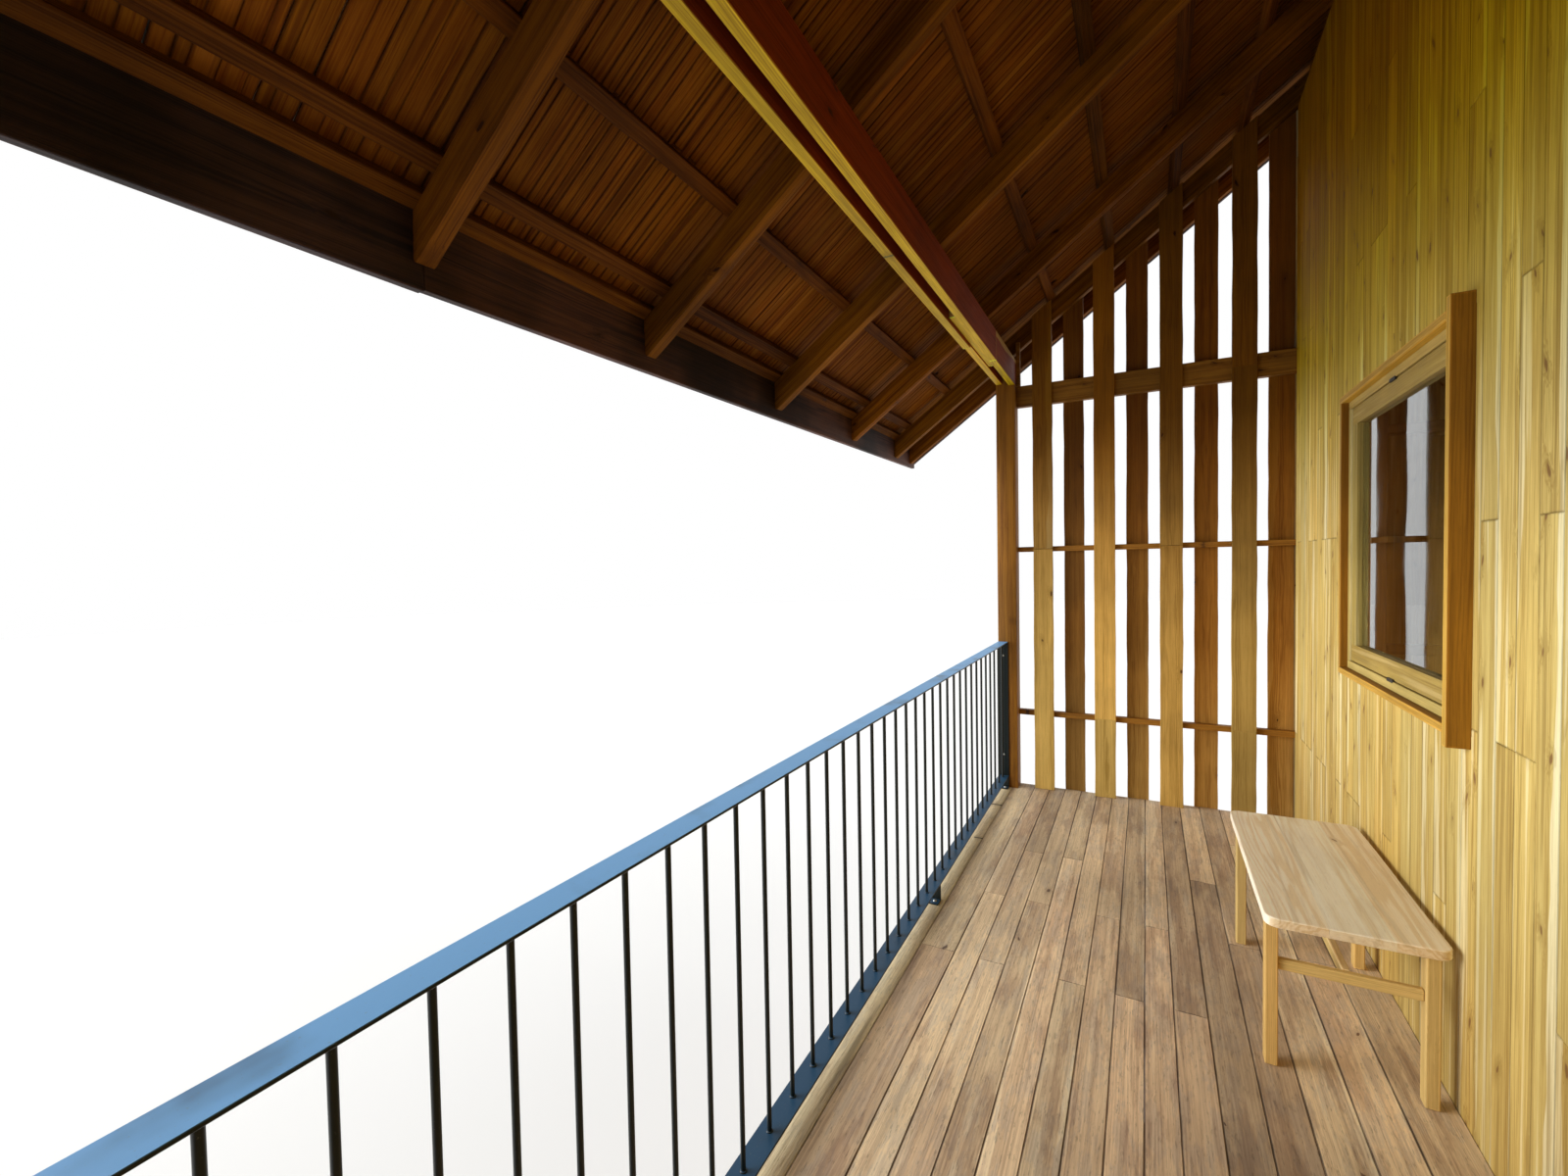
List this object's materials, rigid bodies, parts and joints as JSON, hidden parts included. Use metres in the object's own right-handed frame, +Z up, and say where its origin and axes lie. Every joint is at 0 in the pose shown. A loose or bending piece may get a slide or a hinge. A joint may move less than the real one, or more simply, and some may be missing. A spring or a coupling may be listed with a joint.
{
  "type": "timber stilt house",
  "caption": "Timber stilt house on posts, with an open veranda under the roof slope, slatted end screens, a steel railing, boarded walls and a shingle roof.",
  "frame": {"origin": "on the ground, under the middle of the ridge", "axes": "+Z up, X along the house and its ridge, the veranda on the -Y side"},
  "size_m": [7.25, 6.9, 6.8774],
  "materials": {
    "footing": "cast concrete, rough",
    "post_timber": "planed hardwood, oiled, matt",
    "floor_timber": "sawn hardwood, matt",
    "rim_timber": "rough edge board, matt",
    "deck_boards": "planed boards, matt",
    "wall_boards": "tongued boards, satin oil",
    "roof_timber": "rough sawn, dark, matt",
    "beam_timber": "planed, dark red brown, matt",
    "lining_strips": "split strips, matt",
    "shingles": "weathered grey, matt",
    "fascia_timber": "planed, dark, matt",
    "slat_timber": "planed slats, satin oil",
    "casing_timber": "planed hardwood, satin oil",
    "frame_timber": "planed hardwood, satin oil",
    "sash_timber": "pale planed wood, satin",
    "window_glass": "clear",
    "door_timber": "boarded leaf, satin oil",
    "railing_steel": "dark blue-black paint, semi-gloss",
    "bench_timber": "pale planed wood, bare"
  },
  "bodies": {
    "root": {"footings": "footing", "stilts": "post_timber", "veranda_posts": "post_timber", "wall_posts": "post_timber", "back_posts": "post_timber", "floor_beams": "floor_timber", "floor_joists": "floor_timber", "rim_beam": "rim_timber", "veranda_deck": "deck_boards", "room_floor": "deck_boards", "veranda_wall": "wall_boards", "left_gable_wall": "wall_boards", "right_gable_wall": "wall_boards", "back_wall": "wall_boards", "wall_girts": "floor_timber", "wall_plates": "roof_timber", "tie_beams": "roof_timber", "king_posts": "roof_timber", "ridge_beam": "roof_timber", "outer_eave_beam": "beam_timber", "inner_eave_beam": "beam_timber", "beam_spacers": "beam_timber", "front_rafters": "roof_timber", "back_rafters": "roof_timber", "roof_battens": "roof_timber", "roof_lining": "lining_strips", "front_shingles": "shingles", "back_shingles": "shingles", "ridge_cap": "shingles", "fascias": "fascia_timber", "barge_boards": "fascia_timber", "screen_rails": "slat_timber", "inner_slats": "slat_timber", "outer_slats": "slat_timber", "window_casings": "casing_timber", "window_frames": "frame_timber", "window_sashes": "sash_timber", "window_panes": "window_glass", "door_casing": "casing_timber", "door_leaf": "door_timber", "railing_bars": "railing_steel", "railing_balusters": "railing_steel", "railing_fixings": "railing_steel", "bench_top": "bench_timber", "bench_frame": "bench_timber"}
  },
  "joints": []
}
